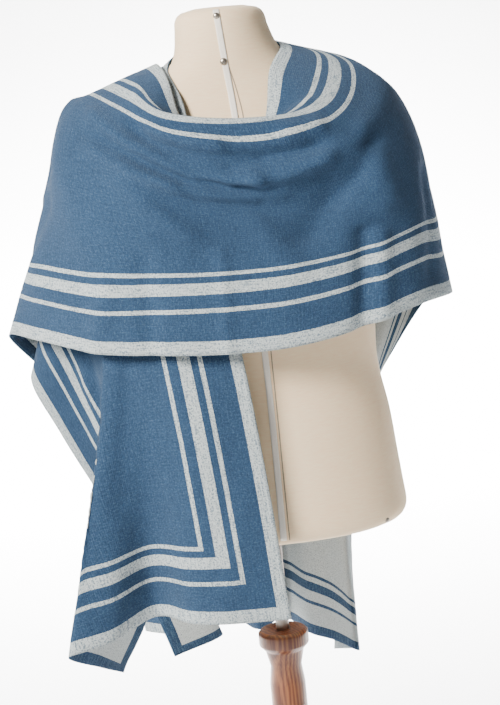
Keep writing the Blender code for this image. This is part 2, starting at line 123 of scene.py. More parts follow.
FOLD_COLUMN = 1
FOLD_ACROSS = (8, 7.9, 7.2, 6.6, 6.5, 6.8, 7.2, 7.3, 7.3, 7.3)
THROWN_FRONT = (
    (9, (6.4, 0.6, 76.9), (13.3, -1, 74.3), (17.6, -1.9, 72.2), (22.2, -3.3, 65.5), (24, -4, 54.5),
     (25.4, -4.3, 43.6)),
    (17, (4.7, -6.4, 73.4), (12.8, -8.4, 70.6), (16.4, -9.7, 67.4), (19.8, -10.8, 61), (21.1, -11.4, 52.4),
     (20.8, -11.2, 43.6)),
    (25, (3.3, -10.2, 67), (8.6, -12.4, 68.4), (11, -14.2, 64.8), (13.5, -14.2, 58), (13.5, -14.8, 50.9),
     (12.6, -14.4, 41.7)),
    (33, (-0.9, -10.9, 62), (0.3, -13.7, 68.3), (2.2, -15.1, 64.3), (4.5, -13.9, 58.5), (5, -15.7, 50.6),
     (4.6, -15.9, 40.5)),
    (41, (-5.8, -10, 67), (-8.3, -11.9, 69.8), (-6.4, -14.2, 65), (-4, -13.9, 58.8), (-3.5, -15.6, 50.3),
     (-3.5, -16.1, 40.4)),
    (49, (-7.8, -4.4, 74), (-12.4, -5.4, 72.4), (-14.6, -9, 68.6), (-13.5, -12.9, 60.5), (-11.8, -14.8, 50.8),
     (-11.5, -15.6, 40.9)),
    (57, (-9.3, 2.8, 75.7), (-15.9, 2.2, 73.5), (-20.6, -1, 70.9), (-22, -6.6, 63.2), (-19.5, -12, 51.2),
     (-19.2, -13.2, 41.5)),
    (66, (-9.8, 11, 73.4), (-16.6, 10.8, 70.5), (-21.7, 6.4, 68.6), (-24.1, 1.8, 63), (-26.6, -3.6, 53.2),
     (-26.8, -7.4, 42.9)),
    (76, (-9.8, 13.5, 63.8), (-17, 13.6, 61.5), (-21.7, 12.2, 59.5), (-25.2, 9.8, 56), (-28.6, 5.2, 50.2),
     (-31.8, 0.3, 42.8)),
    (86, (-10.2, 15.2, 53), (-16.8, 17.4, 49.5), (-19.2, 14.6, 46), (-24.7, 16.8, 44.5), (-27, 12.4, 41.4),
     (-27.6, 8.6, 35.4)),
)

CENTRE_COLUMN = 6
BACK = (
    (14, (-21, 12.4, 35.6), (-22.2, 11.8, 43.4), (-22.2, 11, 49.6), (-20, 10.4, 55.4), (-15.5, 10.2, 60.5),
     (-8, 10.5, 62.8), (0, 10.4, 63.8), (8.8, 10.5, 62.5), (18.3, 9.4, 58.8), (21, 9, 53), (21.5, 9.2, 47),
     (21.5, 9.9, 41.4), (20.4, 12.4, 36.1)),
    (36, (-22.5, 13, 20), (-18.2, 15, 26.5), (-19.6, 16.8, 31), (-18.8, 17.8, 35.5), (-14.5, 16.6, 39.5),
     (-7.8, 17.6, 41.2), (-0.5, 13.8, 42.3), (7, 16.8, 41), (12, 13.2, 37), (14, 11.8, 31.6),
     (13.9, 12.4, 26.2), (13.2, 16.6, 21.6), (10.6, 21.2, 17.8)),
    (60, (-20.3, 12.6, 8.6), (-14, 13.8, 13), (-17.5, 18.4, 15.5), (-20.5, 23.6, 16.8), (-13.6, 18.8, 17.5),
     (-8.2, 23.4, 17.8), (-3, 17, 18.3), (1, 23.4, 18), (4.9, 16.6, 17), (8.3, 14.4, 14.5), (10.3, 11.6, 11),
     (10.4, 16.6, 6), (8.5, 21.5, 1)),
    (86, (-15.3, 10, -6), (-8.6, 17, -5.8), (-15, 19.8, -6.2), (-20, 24.2, -6.5), (-13.2, 22.4, -6.3),
     (-7.4, 27, -6.7), (-3.2, 19.6, -6.5), (0.6, 26.8, -7.2), (4, 18.6, -7.3), (7.4, 14.8, -7.5),
     (10.2, 10.8, -7.9), (10.4, 16.6, -9.7), (7.6, 22.4, -11.5)),
)

THROWN_CREASES = (
    # across_1, down_1, across_2, down_2, width, depth
    (9.9, 25.5, 9.7, 29, 1.1, -0.7), (10.4, 37, 10.6, 44, 1.1, -1), (12, 27, 11.8, 46, 1.5, 0.9),
    (14.3, 27, 15.8, 34.6, 1.5, -1.2), (13.7, 21, 14, 25, 1.8, -0.35), (18.6, 33, 18.9, 48, 1.6, -0.9),
    (15.2, 9, 13.4, 19, 1.9, -0.4), (16.5, 20.5, 22, 27.5, 1.8, 0.8), (18.5, 27.5, 28, 30.5, 2.4, 0.9),
    (18, 21, 26, 21, 2.4, -0.9), (30, 24.6, 43, 24.4, 1.2, 0.7), (32, 22.6, 43, 22, 1.1, -0.6),
    (30, 40.6, 43, 41, 0.8, -0.35), (12.6, 52, 15.6, 43, 1.3, -0.8), (16.1, 41.2, 15.7, 39.2, 0.8, -0.6),
    (16, 37.8, 15, 34.4, 1, -1.1), (13.9, 36.6, 13.2, 33, 0.9, 0.45), (19.6, 44, 19.2, 36, 0.7, -0.35),
    (17.4, 35.5, 16.8, 40.5, 0.8, 0.4), (20.5, 50, 27, 44, 1.5, -0.55), (17.3, 52, 19.2, 44.5, 1.1, -0.6),
    (14.9, 50, 17, 43, 1.2, 0.45), (24, 36.5, 33, 33, 1.7, -0.4), (27, 12, 39, 14.5, 1.5, 0.5),
    (35, 55, 43, 57.5, 1.6, -0.6), (31, 49.5, 43, 50.5, 1.3, 0.45), (4, 52, 6, 47, 0.9, -0.25),
    (3.4, 27, 5.5, 22, 1, -0.3), (12, 60, 22, 70, 1.6, -0.6), (26, 64, 36, 76, 1.8, 0.5),
    (8, 72, 17, 82, 1.4, -0.45),
)
RIGHT_CREASES = (
    (9, 50, 16, 86, 2.5, -0.4), (13, 46, 19, 70, 1.2, -0.35), (7, 38, 10, 60, 1.6, 0.25),
    (20, 58, 25, 80, 1.4, -0.4), (28, 34, 34, 52, 1.8, -0.45), (33, 40, 40, 66, 1.5, 0.35),
    (3, 70, 8, 84, 1.3, 0.2),
)
BACK_CREASES = (
    (-14, 10, -6, 60, 2.2, -0.6), (6, 12, 16, 50, 2.4, -0.6), (-22, 14, -15, 44, 1.6, -0.45),
    (-4, 24, 2, 70, 1.4, 0.35), (17, 20, 24, 52, 1.5, 0.4), (-31, 30, -27, 74, 1.6, -0.4),
    (9, 58, 12, 84, 1.3, -0.35), (30, 40, 36, 78, 1.5, -0.35), (-38, 18, -35, 50, 1.3, 0.3),
    (-9, 66, -12, 86, 1.2, 0.3),
)

# Levels of the form: height, half width, front, back, squareness.
FORM_SECTIONS = np.array((
    (14.4, 16, 10.2, 10, 2.2), (14.9, 17.2, 11, 10.9, 2.2), (16.2, 17.9, 11.5, 11.4, 2.2),
    (19, 17.7, 11.6, 11.5, 2.2), (23, 17.3, 11.5, 11.4, 2.2), (29, 16.7, 11.3, 10.8, 2.2),
    (36, 15.6, 10.8, 9.2, 2.2), (44, 16.1, 11.6, 8.8, 2.2), (52, 17, 12.4, 9.2, 2.2),
    (58, 17.6, 11.2, 9.6, 2.3), (64, 18, 9.4, 9.2, 2.3), (67.6, 17.9, 7.7, 8.2, 2.2),
    (69.8, 16.9, 6.8, 7.5, 2.1), (71.2, 15, 6.2, 7, 2), (72.6, 12.2, 5.8, 6.7, 2),
    (73.8, 9.6, 5.6, 6.5, 2), (75.2, 7.5, 5.6, 6.2, 2), (77, 6.5, 5.6, 5.9, 2),
    (79.4, 5.9, 5.6, 5.6, 2), (80.9, 5.6, 5.4, 5.4, 2), (81.7, 4.7, 4.6, 4.5, 2),
    (82, 3.2, 3, 2.9, 2),
))


def spline(knots: Array, values: Array, at: Array) -> Array:
    """Smooth curves through values at their knots, with the end runs carried on straight.

    Args:
        knots: One row of rising knots for each point wanted, (n, k).
        values: Values at those knots, (n, k, 3).
        at: Where each curve is read, (n,).

    Returns:
        The points read, (n, 3).
    """
    rows = np.arange(len(at))
    last = knots.shape[1] - 1
    index = (at[:, None] > knots[:, 1:last]).sum(axis=1)
    low, high = knots[rows, index], knots[rows, index + 1]
    start, end = values[rows, index], values[rows, index + 1]
    span = (high - low)[:, None]
    share = ((at - low) / (high - low))[:, None]
    chord = (end - start) / span
    before, after = np.maximum(index - 1, 0), np.minimum(index + 2, last)
    slope_in = (end - values[rows, before]) / (high - knots[rows, before])[:, None]
    slope_out = (values[rows, after] - start) / (knots[rows, after] - low)[:, None]
    slope_in = np.where((index > 0)[:, None], slope_in, chord)
    slope_out = np.where((index < last - 1)[:, None], slope_out, chord)
    square, cube = share ** 2, share ** 3
    return (start * (2 * cube - 3 * square + 1) + slope_in * span * (cube - 2 * square + share)
            + end * (3 * square - 2 * cube) + slope_out * span * (cube - square))


def smooth(share: Array) -> Array:
    """Ease shares from 0 to 1, held at both ends."""
    held = np.clip(share, 0, 1)
    return held * held * (3 - 2 * held)


def at_knots(knots: Sequence[float], points: Sequence[Point], across: Array) -> Array:
    """Points of one line of the tables, with its knots and points given, at the stops across."""
    line = np.tile(np.array(points, float), (len(across), 1, 1))
    return spline(np.tile(np.array(knots, float), (len(across), 1)), line, across)


def run_knots(points: Array, start: float, end: float) -> Array:
    """Give a run of points its flat stops, true to its length near both ends, with the slack between them.

    Args:
        points: The run in the air, (k, 3).
        start: Flat stop of its first point.
        end: Flat stop of its last point.

    Returns:
        A stop for each point, (k,).
    """
    slack_from, slack_to = SLACK_SHARES
    lengths = np.concatenate(([0], np.cumsum(np.linalg.norm(np.diff(points, axis=0), axis=1))))
    slack = abs(end - start) - lengths[-1]
    eased = smooth((lengths / lengths[-1] - slack_from) / (slack_to - slack_from))
    return start + math.copysign(1, end - start) * (lengths + slack * eased)


class Rows:
    """A panel's sections as arrays, with the flat stop across of each of their points."""

    def __init__(self, table: Sequence[tuple[Any, ...]], start: float, anchor: int = 0,
                 middles: Sequence[float] = ()) -> None:
        """Work out the stops.

        Args:
            table: Lines across the panel, from the nape down.
            start: Flat stop of their first point.
            anchor: Index of a point whose flat stop is known.
            middles: That stop for each line, or nothing where it is 0.
        """
        self.downs = [line[0] for line in table]
        self.points = np.array([line[1:] for line in table], float)
        self.knots = np.array([self._stops(points, start, anchor, middle)
                               for points, middle in zip(self.points, middles or [0] * len(table))])

    @staticmethod
    def _stops(points: Array, start: float, anchor: int, middle: float) -> Array:
        """Flat stops of one line's points, both ways from the anchor, whose stop is the middle."""
        inner = run_knots(points[anchor::-1], middle, start)[:0:-1] if anchor else np.empty(0)
        return np.concatenate((inner, run_knots(points[anchor:], middle, Cut.HALF_WIDTH / CM)))

    def first(self, across: Array) -> Array:
        """Points of the first section, found across it."""
        return at_knots(self.knots[0], self.points[0], across)


class Drape:
    """One panel's surface in the air: a smooth net through its sections, creased, joined at the nape line.

    Its methods take rows of flat stops across and down, (n,), and return a row for each pair.
    """

    NAPE_BLEND = 10
    NORMAL_STEP = 0.4

    def __init__(self, rows: Rows, side: int, behind: float, beyond: Array,
                 creases: Sequence[tuple[float, ...]]) -> None:
        """Lay the net's columns.

        Args:
            rows: The panel's sections with their stops.
            side: 1 where across grows to the form's left, -1 where it grows to its right.
            behind: Flat distance from the nape line to the neighbouring panel's first section.
            beyond: That section's points at this panel's stops.
            creases: The panel's troughs and ridges.
        """
        self.side = side
        self.creases = [Crease(*row) for row in creases]
        self.downs = np.array([-behind, 0, *rows.downs], float)
        first = rows.knots[0]
        nape = at_knots(NAPE_ACROSS, NAPE_POINTS, side * first)
        self.columns = np.array([beyond, nape, *rows.points]).transpose(1, 0, 2)
        self.knots = np.array([first, first, *rows.knots])[:, :, None].transpose(1, 0, 2)

    def net(self, across: Array, down: Array) -> Array:
        """Points of the plain net."""
        count = len(across)
        downs = np.tile(self.downs, (count, 1))
        columns, knots = ([spline(downs, np.broadcast_to(column, (count, *column.shape)), down)
                           for column in table] for table in (self.columns, self.knots))
        return spline(np.concatenate(knots, axis=1), np.stack(columns, axis=1), across)

    def joined(self, across: Array, down: Array) -> Array:
        """Points of the net, brought onto the shared nape line near it."""
        blend = (1 - smooth(down / self.NAPE_BLEND))[:, None]
        nape = at_knots(NAPE_ACROSS, NAPE_POINTS, self.side * across)
        return self.net(across, down) + (nape - self.net(across, np.zeros_like(down))) * blend

    def normals(self, across: Array, down: Array) -> Array:
        """Normals of the joined net, along across turned onto down."""
        step = self.NORMAL_STEP
        by_across = self.joined(across + step, down) - self.joined(across - step, down)
        by_down = self.joined(across, down + step) - self.joined(across, down - step)
        normal = np.cross(by_across, by_down)
        return normal / np.linalg.norm(normal, axis=1)[:, None]

    def press(self, across: Array, down: Array) -> Array:
        """How far the creases push each point along its normal, in centimetres."""
        total = np.zeros_like(across)
        for crease in self.creases:
            run = np.array((crease.across_2 - crease.across_1, crease.down_2 - crease.down_1))
            lead = np.stack((across - crease.across_1, down - crease.down_1), axis=1)
            share = np.clip(lead @ run / (run @ run), 0, 1)
            away = np.linalg.norm(lead - share[:, None] * run, axis=1) / crease.width
            total += crease.depth * np.exp(-away * away)
        return total

    def points(self, across: Array, down: Array) -> Array:
        """Places of flat points once draped, in metres above the floor."""
        place = self.joined(across, down) + self.normals(across, down) * self.press(across, down)[:, None]
        place[:, 2] += COLUMN_HEIGHT / CM
        return place * CM


def operator(operation: str, reflected: bool = False) -> Callable[[Wire, Term], Wire]:
    """Make a method that puts in a Math node, with its terms swapped where it is reflected."""
    def result(wire: Wire, other: Term) -> Wire:
        """Result of the operation on the wire and the other term."""
        return wire.math(operation, *((other, wire) if reflected else (wire, other)))

    return result


class Wire:
    """A shader socket that takes part in plain arithmetic."""

    def __init__(self, tree: bpy.types.NodeTree, socket: bpy.types.NodeSocket) -> None:
        """Hold an output socket and the tree that it is in."""
        self.tree = tree
        self.socket = socket

    def math(self, operation: str, *terms: Term) -> Wire:
        """Result of a Math node on one term or two."""
        node = self.tree.nodes.new("ShaderNodeMath")
        node.operation = operation
        for socket, term in zip(node.inputs, terms):
            feed(self.tree, socket, term)
        return Wire(self.tree, node.outputs[0])

    __add__, __radd__ = operator("ADD"), operator("ADD", True)
    __sub__, __rsub__ = operator("SUBTRACT"), operator("SUBTRACT", True)
    __mul__, __rmul__ = operator("MULTIPLY"), operator("MULTIPLY", True)
    __truediv__, __rtruediv__ = operator("DIVIDE"), operator("DIVIDE", True)
    __gt__ = operator("GREATER_THAN")
    least, most = operator("MINIMUM"), operator("MAXIMUM")

    def __abs__(self) -> Wire:
        """Size without its sign."""
        return self.math("ABSOLUTE", self)

    def sine(self) -> Wire:
        """Sine of the angle in radians."""
        return self.math("SINE", self)

    def wave(self, length: float) -> Wire:
        """Sine that repeats after a length."""
        return (self * (math.tau / length)).sine()

    def fraction(self) -> Wire:
        """What is left above the whole number."""
        return self.math("FRACT", self)

    def within(self, low: float, high: float) -> Wire:
        """1 between two limits, and 0 outside them."""
        return (self > low) * (1 - (self > high))


Term = Wire | float


def feed(tree: bpy.types.NodeTree, socket: bpy.types.NodeSocket, term: Any) -> None:
    """Link a wire to a socket, or set the socket to a plain value."""
    if isinstance(term, Wire):
        tree.links.new(term.socket, socket)
    else:
        socket.default_value = term


class Bench:
    """A material under work: its tree, its Principled shader, and the nodes put into it."""

    def __init__(self, name: str, **fixed: Any) -> None:
        """Open a new material.

        Args:
            name: Name of the material.
            fixed: Values for sockets of the shader, with underscores for spaces.
        """
        self.material = bpy.data.materials.new(name)
        self.material.use_nodes = True
        self.tree = self.material.node_tree
        self.shader = self.tree.nodes["Principled BSDF"]
        for key, value in fixed.items():
            self.shader.inputs[key.replace("_", " ")].default_value = value

    def node(self, kind: str, sockets: dict[str | int, Any], output: str | int = 0, **settings: Any) -> Wire:
        """Put in a node.

        Args:
            kind: Its type, without the leading ShaderNode.
            sockets: Values or wires for its inputs.
            output: The output wanted.
            settings: Its own properties.

        Returns:
            That output.
        """
        node = self.tree.nodes.new("ShaderNode" + kind)
        for key, value in settings.items():
            setattr(node, key, value)
        for key, value in sockets.items():
            feed(self.tree, node.inputs[key], value)
        return Wire(self.tree, node.outputs[output])

    def ramp(self, share: Wire, knots: Sequence[float], levels: Sequence[float]) -> Wire:
        """Grey levels at their knots along a share, straight in between."""
        wire = self.node("ValToRGB", {"Fac": share})
        elements = wire.socket.node.color_ramp.elements
        while len(elements) < len(knots):
            elements.new(1)
        for element, knot, level in zip(elements, knots, levels):
            element.position = knot
            element.color = (level, level, level, 1)
        return wire

    def place(self) -> Wire:
        """Position in the object's own metres."""
        return self.node("TexCoord", {}, "Object")

    def parts(self, vector: Wire) -> tuple[Wire, ...]:
        """A vector's three numbers."""
        first = self.node("SeparateXYZ", {0: vector})
        return tuple(Wire(self.tree, out) for out in first.socket.node.outputs)

    def stretch(self, vector: Wire, *scale: float) -> Wire:
        """The vector scaled by its axes, for a pattern drawn out along the smaller ones."""
        return self.node("Mapping", {"Vector": vector, "Scale": scale})

    def noise(self, vector: Wire, scale: float, detail: float = 2.0, roughness: float = 0.5) -> Wire:
        """Cloudy value about 0.5."""
        return self.node("TexNoise", {"Vector": vector, "Scale": scale, "Detail": detail,
                                      "Roughness": roughness}, "Fac")

    def blend(self, share: Term, first: Wire | Colour, second: Wire | Colour, how: str = "MIX") -> Wire:
        """Mix of two colours, with the second one's share and the node's blend type."""
        colours = [term if isinstance(term, Wire) else (*term, 1) for term in (first, second)]
        return self.node("Mix", {0: share, 6: colours[0], 7: colours[1]}, 2,
                         data_type="RGBA", blend_type=how, clamp_factor=True)

    def finish(self, colour: Wire, roughness: Wire | None = None, height: Wire | None = None,
               depth: float = 0.001, strength: float = 0.6) -> Material:
        """Join what varies to the shader.

        Args:
            colour: Base colour.
            roughness: Roughness, where it varies.
            height: Height for the bump, about 0 to 1.
            depth: Metres that 1 stands for.
            strength: Share of the bump that shows.

        Returns:
            The finished material.
        """
        bump = {"Height": height, "Distance": depth, "Strength": strength}
        normal = None if height is None else self.node("Bump", bump)
        for socket, wire in (("Base Color", colour), ("Roughness", roughness), ("Normal", normal)):
            if wire is not None:
                feed(self.tree, self.shader.inputs[socket], wire)
        return self.material


@dataclass(frozen=True)
class Cut:
    """The flat cut of the ruana, in metres, and the stripes along its edges, in centimetres from the edge.

    The stripes beside the slit are spaced a little otherwise: slit_knots stand where edge_knots do elsewhere.
    """

    HALF_WIDTH = 0.43
    HALF_LENGTH = 0.86
    border: float = 1.7
    outer_stripe: Pair = (4.95, 5.5)
    wide_stripe: Pair = (7.15, 8.65)
    inner_stripe: Pair = (9.5, 10.05)
    slit_knots: tuple[float, ...] = (0, 1.7, 5, 5.6, 6.5, 8.1, 9.45, 10, 12)
    edge_knots: tuple[float, ...] = (0, 1.7, 4.95, 5.5, 7.15, 8.65, 9.5, 10.05, 12)


@dataclass(frozen=True)
class Knit:
    """Double-faced knit: one yarn shows as the ground on one face and as the stripes on the other."""

    ground: Colour
    stripe: Colour
    ground_fleck: Colour
    stripe_fleck: Colour
    cut: Cut = Cut()
    stitch: float = 0.0021
    leg_slant: float = 5.0
    relief: float = 0.0012
    ragged: float = 0.0011

    def stripes(self, bench: Bench, flat: Wire) -> Wire:
        """Find where the edge stripes run.

        Args:
            bench: The material under work.
            flat: Place on the flat cut, in metres.

        Returns:
            1 on a stripe, and 0 on the ground.
        """
        cut = self.cut
        across, along, _ = bench.parts(flat)
        ragged = (bench.noise(flat, 420, 1) - 0.5) * self.ragged
        side = Cut.HALF_WIDTH - abs(across)
        hem = Cut.HALF_LENGTH - abs(along)
        reach = cut.slit_knots[-1]
        slit = abs(across).most(0 - along) * (1 / (reach * CM))
        knots, levels = ([knot / reach for knot in row] for row in (cut.slit_knots, cut.edge_knots))
        warped = bench.ramp(slit, knots, levels) * (reach * CM)
        inward = side.least(hem).least(warped + (slit > 1) * 0.5) + ragged
        mask = 1 - (inward > cut.border * CM)
        for low, high in (cut.outer_stripe, cut.wide_stripe, cut.inner_stripe):
            mask = mask + inward.within(low * CM, high * CM)
        return mask

    def dress(self, name: str) -> Material:
        """Make the knit's material."""
        bench = Bench(name, Roughness=0.95, Specular_IOR_Level=0.12, Sheen_Weight=0.08, Sheen_Roughness=0.6,
                      Sheen_Tint=(0.6, 0.7, 0.85, 1))
        flat = bench.node("UVMap", {}, uv_map="cut")
        across, along, _ = bench.parts(flat)
        mask = self.stripes(bench, flat)
        drift = bench.noise(flat, 9, 3)
        slub = bench.noise(bench.stretch(flat, 1, 4.5, 1), 260)
        wales = bench.noise(bench.stretch(flat, 1, 0.08, 1), 640)
        courses = bench.noise(bench.stretch(flat, 0.1, 1, 1), 520)
        fleck = bench.noise(flat, 430, 4, 0.8)
        ground = bench.blend((fleck - 0.48) * 5, self.ground, self.ground_fleck)
        stripe = bench.blend((fleck - 0.46) * 6.5 + (wales - 0.5) * 3, self.stripe, self.stripe_fleck)
        colour = bench.blend(mask, ground, stripe)
        shade = (drift - 0.5) * 0.35 + (slub - 0.5) * 0.4 + (wales - 0.5) * 0.7 + (courses - 0.5) * 0.6 + 0.5
        colour = bench.blend(0.55, colour, bench.node("CombineXYZ", {0: shade, 1: shade, 2: shade}),
                             "SOFT_LIGHT")
        wale = abs(across.wave(2 * self.stitch))
        leg = abs((across / self.stitch).fraction() - 0.5)
        loop = (along * (math.tau / self.stitch) + leg * self.leg_slant).sine() * 0.5 + 0.5
        pebble = bench.noise(flat, 230, 3, 0.65)
        height = wale * 0.4 + loop * 0.35 + (fleck - 0.5) * 0.7 + (pebble - 0.5) * 1.8
        return bench.finish(colour, None, height, self.relief, 0.7)


def stops(marks: Sequence[float], gaps: Sequence[float]) -> list[float]:
    """Lay rising stops between marks.

    Args:
        marks: Places that have a stop.
        gaps: Widest gap between stops, for each stretch from one mark to the next.

    Returns:
        The stops.
    """
    made = [marks[0]]
    for low, high, gap in zip(marks, marks[1:], gaps):
        count = math.ceil((high - low) / gap)
        made += [low + (high - low) * (index + 1) / count for index in range(count)]
    return made


def add_object(name: str, data: bpy.types.ID) -> Object:
    """Put an object that shows some data into the scene, at the origin."""
    made = bpy.data.objects.new(name, data)
    bpy.context.scene.collection.objects.link(made)
    return made


def add_mesh(name: str, mesh: Mesh, materials: Sequence[Material]) -> Object:
    """Make a finished mesh a smooth object.

    Args:
        name: Name of the object.
        mesh: Its mesh, freed here.
        materials: Its materials, in the order of its faces' indices.

    Returns:
        The object.
    """
    data = bpy.data.meshes.new(name)
    mesh.to_mesh(data)
    mesh.free()
    for material in materials:
        data.materials.append(material)
    data.shade_smooth()
    return add_object(name, data)


def add_piece(name: str, mesh: Mesh, materials: Sequence[Material]) -> Object:
    """Make a finished mesh a piece that rides on the only body."""
    piece = add_mesh(name, mesh, materials)
    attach(piece, "root")
    return piece


def thicken(piece: Object, wall: float) -> bpy.types.SolidifyModifier:
    """Give a sheet its wall, half of it on each side."""
    solid = piece.modifiers.new("Wall", "SOLIDIFY")
    solid.thickness = wall
    solid.offset = 0
    return solid


def grid(columns: int, rows: int, place: Callable[[float, float], Sequence[float]]) -> Mesh:
    """Make a grid of faces.

    Args:
        columns: Faces across.
        rows: Faces along.
        place: Gives a point its place, from its shares of the way across and along.

    Returns:
        The mesh.
    """
    mesh = bmesh.new()
    bmesh.ops.create_grid(mesh, x_segments=columns, y_segments=rows, size=1)
    for vert in mesh.verts:
        vert.co = place((vert.co.x + 1) / 2, (vert.co.y + 1) / 2)
    return mesh


def lathe(profile: Sequence[Pair], segments: int, rounding: float) -> Mesh:
    """Turn a profile round the pole's axis.

    Args:
        profile: Radius and height pairs, from the top of the axis down to its foot.
        segments: Steps round the turn.
        rounding: Radius that its sharp rims are eased with.

    Returns:
        The closed mesh.
    """
    mesh = bmesh.new()
    verts = [mesh.verts.new((radius, 0, height)) for radius, height in profile]
    edges = [mesh.edges.new(pair) for pair in zip(verts, verts[1:])]
    bmesh.ops.spin(mesh, geom=verts + edges, cent=(0, 0, 0), axis=(0, 0, 1), angle=math.tau,
                   steps=segments, use_merge=True)
    bmesh.ops.remove_doubles(mesh, verts=mesh.verts, dist=MERGE_DISTANCE)
    bmesh.ops.recalc_face_normals(mesh, faces=mesh.faces)
    sharp = [edge for edge in mesh.edges
             if len(edge.link_faces) == 2 and edge.calc_face_angle() > SHARP_ANGLE
             and abs(edge.verts[0].co.z - edge.verts[1].co.z) < SAME_LEVEL]
    bmesh.ops.bevel(mesh, geom=sharp, offset=rounding, segments=3, profile=0.5, affect="EDGES",
                    material=-1, clamp_overlap=True)
    return mesh


@dataclass(frozen=True)
class Linen:
    """Plain woven linen cover of the form."""

    thread: float = 0.0007
    relief: float = 0.0004
    cloth: Colour = (0.93, 0.665, 0.41)
    light: Colour = (0.97, 0.8, 0.55)

    def dress(self, name: str) -> Material:
        """Make the linen's material."""
        bench = Bench(name, Roughness=0.85, Sheen_Weight=0.15, Specular_IOR_Level=0.3)
        place = bench.place()
        x, y, z = bench.parts(place)
        weave = z.wave(self.thread) * (x + y * 0.7).wave(self.thread)
        slub = bench.noise(bench.stretch(place, 1, 1, 7), 90, 3)
        cloud = bench.noise(place, 7, 3)
        share = (slub - 0.5) * 1.3 + (cloud - 0.5) * 0.7 + weave * 0.08 + 0.5
        colour = bench.blend(share, self.cloth, self.light)
        return bench.finish(colour, None, weave * 0.3 + slub * 0.7, self.relief, 0.5)


@dataclass(frozen=True)
class Tape:
    """Narrow cotton tape with a woven edge, and the dark seam strip beside it: thread and painted groove
    shadow.
    """

    ground: Colour = (0.96, 0.91, 0.83)
    shaded: Colour = (0.82, 0.75, 0.65)
    rib: float = 0.0012

    def dress(self, name: str) -> Material:
        """Make the tape's material."""
        bench = Bench(name, Roughness=0.8)
        place = bench.place()
        _, _, z = bench.parts(place)
        ribs = z.wave(self.rib) * 0.5 + 0.5
        fleck = bench.noise(place, 500)
        colour = bench.blend(ribs * 0.25 + (fleck - 0.3) * 0.6, self.ground, self.shaded)
        return bench.finish(colour, None, ribs, 0.0003, 0.6)


@dataclass(frozen=True)
class Metal:
    """Drawn or stamped metal with fine scratches along its axis."""

    colour: Colour
    worn: Colour
    roughness: float
    scratches: float = 1040.0

    def dress(self, name: str) -> Material:
        """Make the metal's material."""
        bench = Bench(name, Roughness=self.roughness, Metallic=1)
        brushed = bench.noise(bench.stretch(bench.place(), 1, 1, 0.06), self.scratches, 3)
        cloud = bench.noise(bench.place(), 60, 3)
        colour = bench.blend((brushed - 0.4) * 1.2 + (cloud - 0.5), self.colour, self.worn)
        rough = (brushed - 0.5) * 0.25 + (cloud - 0.5) * 0.2 + self.roughness
        return bench.finish(colour, rough, brushed, 0.0002, 0.3)


@dataclass(frozen=True)
class TurnedWood:
    """Stained and varnished turned wood."""

    dark: Colour = (0.085, 0.018, 0.006)
    warm: Colour = (0.36, 0.125, 0.032)
    ring: float = 0.0065

    def dress(self, name: str) -> Material:
        """Make the wood's material."""
        bench = Bench(name, Roughness=0.42, Coat_Weight=0.45, Coat_Roughness=0.18)
        grown = bench.stretch(bench.place(), 1, 1, 0.09)
        bend = bench.noise(grown, 14, 4, 0.6)
        x, y, _ = bench.parts(grown)
        rings = (x + y * 0.45 + bend * 0.05).wave(self.ring) * 0.5 + 0.5
        pores = bench.noise(bench.stretch(bench.place(), 1, 1, 0.03), 900)
        share = rings * 0.5 + (bend - 0.5) * 1.2 + (pores - 0.5) * 0.9 + 0.1
        colour = bench.blend(share, self.dark, self.warm)
        return bench.finish(colour, pores * 0.2 + 0.3, rings * 0.4 + pores * 0.6, 0.0003, 0.25)


@dataclass(frozen=True)
class Paper:
    """Matt studio paper."""

    colour: Colour = (0.86, 0.86, 0.86)
    shaded: Colour = (0.8, 0.8, 0.8)

    def dress(self, name: str) -> Material:
        """Make the paper's material."""
        bench = Bench(name, Roughness=0.9)
        return bench.finish(bench.blend(bench.noise(bench.place(), 1.5) * 0.1, self.colour, self.shaded))


@dataclass(frozen=True)
class Strip:
    """Narrow strip down the form: its path as height and x pairs in centimetres, its sizes in metres."""

    name: str
    path: tuple[Pair, ...]
    width: float
    lift: float
    wall: float


